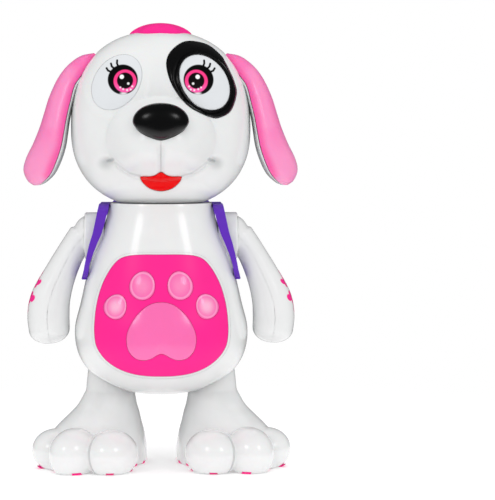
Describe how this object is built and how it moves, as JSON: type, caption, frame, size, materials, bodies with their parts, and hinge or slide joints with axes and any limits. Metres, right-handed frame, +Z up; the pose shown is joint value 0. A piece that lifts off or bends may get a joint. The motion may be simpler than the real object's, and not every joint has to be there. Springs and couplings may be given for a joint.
{
  "type": "robot dog toy",
  "caption": "Standing, dancing robot dog toy: big round head with swinging ears and a crown button, pear-shaped body with a lit paw on the belly, arms, splayed feet and a rucksack.",
  "frame": {"origin": "on the floor under the soles, midway between the ears and midway over the dog's whole depth, from nose to rucksack", "axes": "+Z up, the dog looks along -Y, +X is the dog's left"},
  "size_m": [0.1778, 0.132, 0.285],
  "materials": {
    "white_plastic": "glossy",
    "eye_white": "high gloss, printed iris and lashes",
    "black_plastic": "high gloss",
    "red_plastic": "high gloss",
    "pink_plastic": "glossy",
    "light_pink_lens": "glossy, translucent",
    "purple_plastic": "satin",
    "steel": "plain",
    "grey_plastic": "matte",
    "dark_plastic": "matte",
    "green_board": "solder mask",
    "brass": "plain"
  },
  "bodies": {
    "body": {"body_front_shell": "white_plastic", "body_rear_shell": "white_plastic", "belly_panel": "pink_plastic", "paw_lens": "light_pink_lens", "led_board": "green_board", "body_screw_1": "steel", "body_screw_2": "steel", "body_screw_3": "steel", "body_screw_4": "steel", "gearbox_case": "dark_plastic", "drive_motor": "steel", "hip_shaft": "steel", "battery_box": "dark_plastic", "battery_cell_1": "steel", "battery_cell_2": "steel", "battery_cell_3": "steel", "battery_cover": "white_plastic", "cover_screw": "steel", "tail": "pink_plastic", "backpack_shell": "purple_plastic", "backpack_flap": "purple_plastic", "bone_badge": "pink_plastic", "strap_left": "purple_plastic", "strap_right": "purple_plastic"},
    "head": {"head_front_shell": "white_plastic", "head_rear_shell": "white_plastic", "eye_disc_left": "eye_white", "eye_disc_right": "eye_white", "eye_patch": "black_plastic", "nose": "black_plastic", "tongue": "red_plastic", "speaker": "dark_plastic", "switch_body": "dark_plastic", "ear_motor": "steel", "ear_frame": "grey_plastic", "crown_switch": "dark_plastic", "neck_spindle": "grey_plastic", "head_screw_1": "steel", "head_screw_2": "steel", "head_screw_3": "steel", "head_screw_4": "steel"},
    "head_button": {"head_button": "pink_plastic"},
    "power_switch": {"switch_knob": "pink_plastic"},
    "ear_left": {"ear_left_front": "pink_plastic", "ear_left_back": "white_plastic"},
    "ear_right": {"ear_right_front": "pink_plastic", "ear_right_back": "white_plastic"},
    "ear_cam": {"ear_cam": "grey_plastic"},
    "crank_gear": {"crank_gear": "grey_plastic"},
    "drive_pinion": {"drive_pinion": "brass"},
    "shoulder_left": {"shoulder_cup_left": "white_plastic"},
    "shoulder_right": {"shoulder_cup_right": "white_plastic"},
    "arm_left": {"arm_left_outer": "white_plastic", "arm_left_inner": "white_plastic"},
    "arm_right": {"arm_right_outer": "white_plastic", "arm_right_inner": "white_plastic"},
    "leg_left": {"leg_left": "white_plastic", "sole_left": "pink_plastic"},
    "leg_right": {"leg_right": "white_plastic", "sole_right": "pink_plastic"}
  },
  "joints": [
    {"name": "head_turn", "type": "hinge", "parent": "body", "child": "head", "pos_m": [0, 0.004, 0.169], "axis": [0, 0, 1], "range_deg": [-30, 30]},
    {"name": "ear_left_flap", "type": "hinge", "parent": "head", "child": "ear_left", "pos_m": [0.043, 0.004, 0.2575], "axis": [0, -1, 0], "range_deg": [0, 60]},
    {"name": "ear_right_flap", "type": "hinge", "parent": "head", "child": "ear_right", "pos_m": [-0.043, 0.004, 0.2575], "axis": [0, 1, 0], "range_deg": [0, 60]},
    {"name": "head_button_press", "type": "slide", "parent": "head", "child": "head_button", "axis": [0, 0, -1], "range_m": [0, 0.0015], "stiffness_N_per_m": 400, "springref_m": -0.0005},
    {"name": "power_switch_slide", "type": "slide", "parent": "head", "child": "power_switch", "axis": [1, 0, 0], "range_m": [-0.003, 0.003]},
    {"name": "ear_cam_spin", "type": "hinge", "parent": "head", "child": "ear_cam", "pos_m": [0, 0.004, 0.247], "axis": [0, 1, 0], "continuous": true},
    {"name": "shoulder_left_turn", "type": "hinge", "parent": "body", "child": "shoulder_left", "pos_m": [0.043, 0.004, 0.1475], "axis": [-1, 0, 0], "range_deg": [-45, 90]},
    {"name": "shoulder_right_turn", "type": "hinge", "parent": "body", "child": "shoulder_right", "pos_m": [-0.043, 0.004, 0.1475], "axis": [-1, 0, 0], "range_deg": [-45, 90]},
    {"name": "arm_left_lift", "type": "hinge", "parent": "shoulder_left", "child": "arm_left", "pos_m": [0.0466, 0.004, 0.1475], "axis": [0, -1, 0], "range_deg": [0, 50]},
    {"name": "arm_right_lift", "type": "hinge", "parent": "shoulder_right", "child": "arm_right", "pos_m": [-0.0466, 0.004, 0.1475], "axis": [0, 1, 0], "range_deg": [0, 50]},
    {"name": "hip_left_swing", "type": "hinge", "parent": "body", "child": "leg_left", "pos_m": [0.033, 0.004, 0.064], "axis": [1, 0, 0], "range_deg": [-10, 10]},
    {"name": "hip_right_swing", "type": "hinge", "parent": "body", "child": "leg_right", "pos_m": [-0.033, 0.004, 0.064], "axis": [1, 0, 0], "range_deg": [-10, 10]},
    {"name": "crank_spin", "type": "hinge", "parent": "body", "child": "crank_gear", "pos_m": [0, 0.004, 0.08], "axis": [1, 0, 0], "continuous": true},
    {"name": "drive_pinion_spin", "type": "hinge", "parent": "body", "child": "drive_pinion", "pos_m": [0, 0.004, 0.09563], "axis": [1, 0, 0], "continuous": true}
  ],
  "couplings": [
    {"joint": "ear_right_flap", "follows": "ear_left_flap", "ratio": 1},
    {"joint": "hip_right_swing", "follows": "hip_left_swing", "ratio": -1},
    {"joint": "drive_pinion_spin", "follows": "crank_spin", "ratio": -2}
  ]
}
